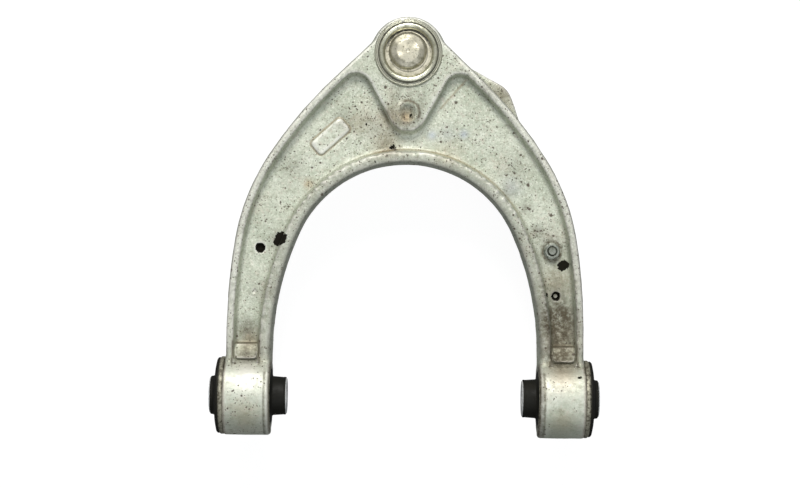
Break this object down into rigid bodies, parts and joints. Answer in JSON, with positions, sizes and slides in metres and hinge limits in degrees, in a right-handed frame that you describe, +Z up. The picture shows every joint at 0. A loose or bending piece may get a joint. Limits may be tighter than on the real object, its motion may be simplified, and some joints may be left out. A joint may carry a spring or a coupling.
{
  "type": "suspension control arm",
  "caption": "U-shaped forged upper control arm with a closed ball joint at its apex, rubber pivot bushes in the eyes at its leg ends and a small sensor bracket under one leg.",
  "frame": {"origin": "midway between the two pivot bushes, on the pivot axis", "axes": "+X along the pivot axis, +Y along the arm from the pivot axis to the ball joint, +Z up through the closed end of the ball joint, so the stud points along -Z"},
  "size_m": [0.2912, 0.3145, 0.0965],
  "materials": {
    "forged_aluminium": "shot-blasted forged surface, oxidised, with grime and pits",
    "zinc_plated_steel": "turned and plated, satin",
    "snap_ring_steel": "plated, satin",
    "pressed_steel": "pressed and plated, worn satin",
    "spring_steel": "bright spring wire and strip",
    "stud_steel": "ground ball and taper, plated thread",
    "bearing_plastic": "white acetal",
    "boot_rubber": "moulded, matt",
    "bush_rubber": "moulded, matt, dusty",
    "sleeve_aluminium": "machined, oxidised",
    "core_aluminium": "turned, bright at the ends",
    "bracket_steel": "zinc plated, dull",
    "fastener_steel": "zinc plated, dull"
  },
  "bodies": {
    "arm": {"arm_forging": "forged_aluminium", "ball_joint_housing": "zinc_plated_steel", "housing_snap_ring": "snap_ring_steel", "ball_joint_cap": "pressed_steel", "preload_spring": "spring_steel", "bearing_shell": "bearing_plastic", "boot_upper_ring": "spring_steel", "left_bush_outer_sleeve": "sleeve_aluminium", "left_bush_rubber": "bush_rubber", "right_bush_outer_sleeve": "sleeve_aluminium", "right_bush_rubber": "bush_rubber", "sensor_bracket": "bracket_steel", "bracket_bolt": "fastener_steel", "bracket_nut": "fastener_steel"},
    "left_inner_sleeve": {"left_bush_inner_sleeve": "core_aluminium"},
    "right_inner_sleeve": {"right_bush_inner_sleeve": "core_aluminium"},
    "boot": {"dust_boot": "boot_rubber"},
    "boot_end": {"boot_lower_ring": "spring_steel"},
    "stud": {"ball_stud": "stud_steel"}
  },
  "joints": [
    {"name": "left_bush_twist", "type": "hinge", "parent": "arm", "child": "left_inner_sleeve", "pos_m": [-0.11715, 0, 0], "axis": [1, 0, 0], "range_deg": [-25, 25], "stiffness_Nm_per_rad": 30},
    {"name": "right_bush_twist", "type": "hinge", "parent": "arm", "child": "right_inner_sleeve", "pos_m": [0.11715, 0, 0], "axis": [1, 0, 0], "range_deg": [-25, 25], "stiffness_Nm_per_rad": 30},
    {"name": "ball_tilt_x", "type": "hinge", "parent": "arm", "child": "boot", "pos_m": [0, 0.257, -0.001], "axis": [1, 0, 0], "range_deg": [-18, 18], "deforming": ["dust_boot"]},
    {"name": "ball_tilt_y", "type": "hinge", "parent": "boot", "child": "boot_end", "pos_m": [0, 0.257, -0.001], "axis": [0, 1, 0], "range_deg": [-18, 18], "deforming": ["dust_boot"]},
    {"name": "ball_spin", "type": "hinge", "parent": "boot_end", "child": "stud", "pos_m": [0, 0.257, -0.001], "axis": [0, 0, 1], "continuous": true}
  ]
}
